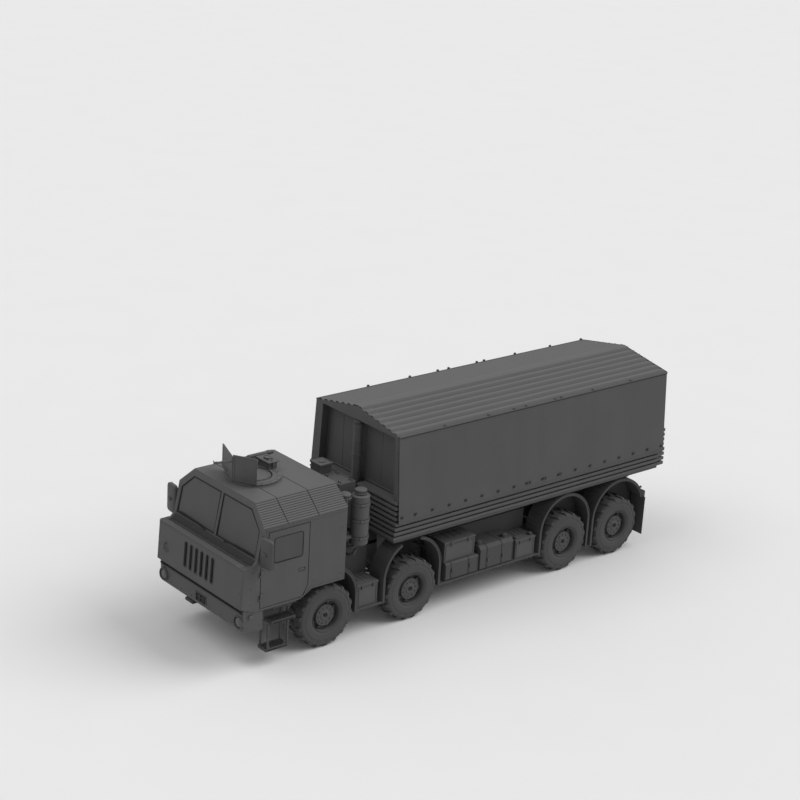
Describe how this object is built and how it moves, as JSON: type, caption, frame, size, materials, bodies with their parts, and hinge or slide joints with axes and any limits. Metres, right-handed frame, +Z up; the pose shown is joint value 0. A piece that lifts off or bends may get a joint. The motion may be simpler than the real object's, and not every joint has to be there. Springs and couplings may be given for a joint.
{
  "type": "military cargo truck",
  "caption": "Unarmed military cargo truck with an armoured cab-over-engine cab, roof shield ring, tipping ribbed load body under a gabled tarpaulin, and telescopic front hoist.",
  "frame": {"origin": "on the ground under the middle of the overall length and width", "axes": "+X towards the truck's left side, -Y towards its front, +Z up"},
  "size_m": [3.1818, 10.49, 3.93],
  "materials": {
    "body_paint": "matt",
    "chassis_paint": "matt",
    "wheel_paint": "matt",
    "castings": "matt",
    "rod_steel": "brushed",
    "tyre": "matt",
    "rubber": "matt",
    "plastic": "matt",
    "fittings": "matt",
    "seat": "woven",
    "tarpaulin": "matt",
    "lamp": "gloss",
    "glass": "clear"
  },
  "bodies": {
    "chassis": {"air_cleaner": "body_paint", "axles": "castings", "bumper": "body_paint", "cab_body": "body_paint", "cab_floor": "body_paint", "cab_roof": "body_paint", "cab_steps": "body_paint", "chassis_frame": "chassis_paint", "cooling_unit": "body_paint", "dashboard": "plastic", "driveline": "castings", "engine_block": "castings", "front_panel": "body_paint", "lamps": "lamp", "leaf_springs": "castings", "mirrors": "fittings", "mudflaps": "rubber", "mudguards": "rubber", "seats": "seat", "side_frames": "chassis_paint", "stowage_boxes": "body_paint", "tanks": "body_paint", "tipper_subframe": "chassis_paint", "windscreen": "glass"},
    "wheel_1_left": {"tyre_1_left": "tyre", "rim_1_left": "wheel_paint"},
    "steer_1_left": {"knuckle_1_left": "castings"},
    "wheel_1_right": {"tyre_1_right": "tyre", "rim_1_right": "wheel_paint"},
    "steer_1_right": {"knuckle_1_right": "castings"},
    "wheel_2_left": {"tyre_2_left": "tyre", "rim_2_left": "wheel_paint"},
    "steer_2_left": {"knuckle_2_left": "castings"},
    "wheel_2_right": {"tyre_2_right": "tyre", "rim_2_right": "wheel_paint"},
    "steer_2_right": {"knuckle_2_right": "castings"},
    "wheel_3_left": {"tyre_3_left": "tyre", "rim_3_left": "wheel_paint"},
    "wheel_3_right": {"tyre_3_right": "tyre", "rim_3_right": "wheel_paint"},
    "wheel_4_left": {"tyre_4_left": "tyre", "rim_4_left": "wheel_paint"},
    "wheel_4_right": {"tyre_4_right": "tyre", "rim_4_right": "wheel_paint"},
    "door_left": {"door_left": "body_paint", "door_glass_left": "glass"},
    "door_right": {"door_right": "body_paint", "door_glass_right": "glass"},
    "bed": {"body_tub": "body_paint", "headboard": "body_paint", "tarpaulin": "tarpaulin", "tarp_hoops": "body_paint"},
    "tailgate": {"tailgate": "body_paint"},
    "hoist_tube": {"hoist_tube": "body_paint"},
    "hoist_stage_1": {"hoist_stage_1": "rod_steel"},
    "hoist_stage_2": {"hoist_stage_2": "rod_steel"},
    "hoist_stage_3": {"hoist_stage_3": "rod_steel"},
    "turret": {"roof_shield": "body_paint", "roof_box": "body_paint"},
    "hatch_lid": {"hatch_lid": "body_paint"}
  },
  "joints": [
    {"name": "steering_1_left", "type": "hinge", "parent": "chassis", "child": "steer_1_left", "pos_m": [0.93, -3.285, 0.6], "axis": [0, 0, 1], "range_deg": [-35, 35]},
    {"name": "spin_1_left", "type": "hinge", "parent": "steer_1_left", "child": "wheel_1_left", "pos_m": [1.004, -3.285, 0.6], "axis": [1, 0, 0], "continuous": true},
    {"name": "steering_1_right", "type": "hinge", "parent": "chassis", "child": "steer_1_right", "pos_m": [-0.93, -3.285, 0.6], "axis": [0, 0, 1], "range_deg": [-35, 35]},
    {"name": "spin_1_right", "type": "hinge", "parent": "steer_1_right", "child": "wheel_1_right", "pos_m": [-1.004, -3.285, 0.6], "axis": [1, 0, 0], "continuous": true},
    {"name": "steering_2_left", "type": "hinge", "parent": "chassis", "child": "steer_2_left", "pos_m": [0.93, -1.315, 0.6], "axis": [0, 0, 1], "range_deg": [-21, 21]},
    {"name": "spin_2_left", "type": "hinge", "parent": "steer_2_left", "child": "wheel_2_left", "pos_m": [1.004, -1.315, 0.6], "axis": [1, 0, 0], "continuous": true},
    {"name": "steering_2_right", "type": "hinge", "parent": "chassis", "child": "steer_2_right", "pos_m": [-0.93, -1.315, 0.6], "axis": [0, 0, 1], "range_deg": [-21, 21]},
    {"name": "spin_2_right", "type": "hinge", "parent": "steer_2_right", "child": "wheel_2_right", "pos_m": [-1.004, -1.315, 0.6], "axis": [1, 0, 0], "continuous": true},
    {"name": "spin_3_left", "type": "hinge", "parent": "chassis", "child": "wheel_3_left", "pos_m": [1.004, 2.61, 0.6], "axis": [1, 0, 0], "continuous": true},
    {"name": "spin_3_right", "type": "hinge", "parent": "chassis", "child": "wheel_3_right", "pos_m": [-1.004, 2.61, 0.6], "axis": [1, 0, 0], "continuous": true},
    {"name": "spin_4_left", "type": "hinge", "parent": "chassis", "child": "wheel_4_left", "pos_m": [1.004, 4.065, 0.6], "axis": [1, 0, 0], "continuous": true},
    {"name": "spin_4_right", "type": "hinge", "parent": "chassis", "child": "wheel_4_right", "pos_m": [-1.004, 4.065, 0.6], "axis": [1, 0, 0], "continuous": true},
    {"name": "door_left_hinge", "type": "hinge", "parent": "chassis", "child": "door_left", "pos_m": [1.3, -4.83, 1.8], "axis": [0, 0, -1], "range_deg": [0, 60]},
    {"name": "door_right_hinge", "type": "hinge", "parent": "chassis", "child": "door_right", "pos_m": [-1.3, -4.83, 1.8], "axis": [0, 0, 1], "range_deg": [0, 60]},
    {"name": "bed_tip", "type": "hinge", "parent": "chassis", "child": "bed", "pos_m": [0, 4.668, 1.4], "axis": [-1, 0, 0], "range_deg": [0, 45]},
    {"name": "tailgate_hinge", "type": "hinge", "parent": "bed", "child": "tailgate", "pos_m": [0, 5.145, 2.515], "axis": [1, 0, 0], "range_deg": [0, 60]},
    {"name": "hoist_tilt", "type": "hinge", "parent": "bed", "child": "hoist_tube", "pos_m": [0, -1.795, 1.8], "axis": [1, 0, 0], "range_deg": [0, 21.58]},
    {"name": "hoist_slide_1", "type": "slide", "parent": "hoist_tube", "child": "hoist_stage_1", "axis": [0, 0, -1], "range_m": [0, 1.6351]},
    {"name": "hoist_slide_2", "type": "slide", "parent": "hoist_stage_1", "child": "hoist_stage_2", "axis": [0, 0, -1], "range_m": [0, 1.6351]},
    {"name": "hoist_slide_3", "type": "slide", "parent": "hoist_stage_2", "child": "hoist_stage_3", "axis": [0, 0, -1], "range_m": [0, 1.6351]},
    {"name": "roof_ring_turn", "type": "hinge", "parent": "chassis", "child": "turret", "pos_m": [-0.05, -4.085, 3.03], "axis": [0, 0, 1], "continuous": true},
    {"name": "hatch_hinge", "type": "hinge", "parent": "turret", "child": "hatch_lid", "pos_m": [0.266, -4.085, 3.042], "axis": [0, 1, 0], "range_deg": [0, 90]}
  ],
  "couplings": [
    {"joint": "steering_1_right", "follows": "steering_1_left", "ratio": 1},
    {"joint": "steering_2_left", "follows": "steering_1_left", "ratio": 0.6},
    {"joint": "steering_2_right", "follows": "steering_1_left", "ratio": 0.6},
    {"joint": "hoist_tilt", "follows": "bed_tip", "ratio": 0.47953},
    {"joint": "hoist_slide_1", "follows": "bed_tip", "m_per_rad": 2.0813},
    {"joint": "hoist_slide_2", "follows": "bed_tip", "m_per_rad": 2.0813},
    {"joint": "hoist_slide_3", "follows": "bed_tip", "m_per_rad": 2.0813}
  ]
}
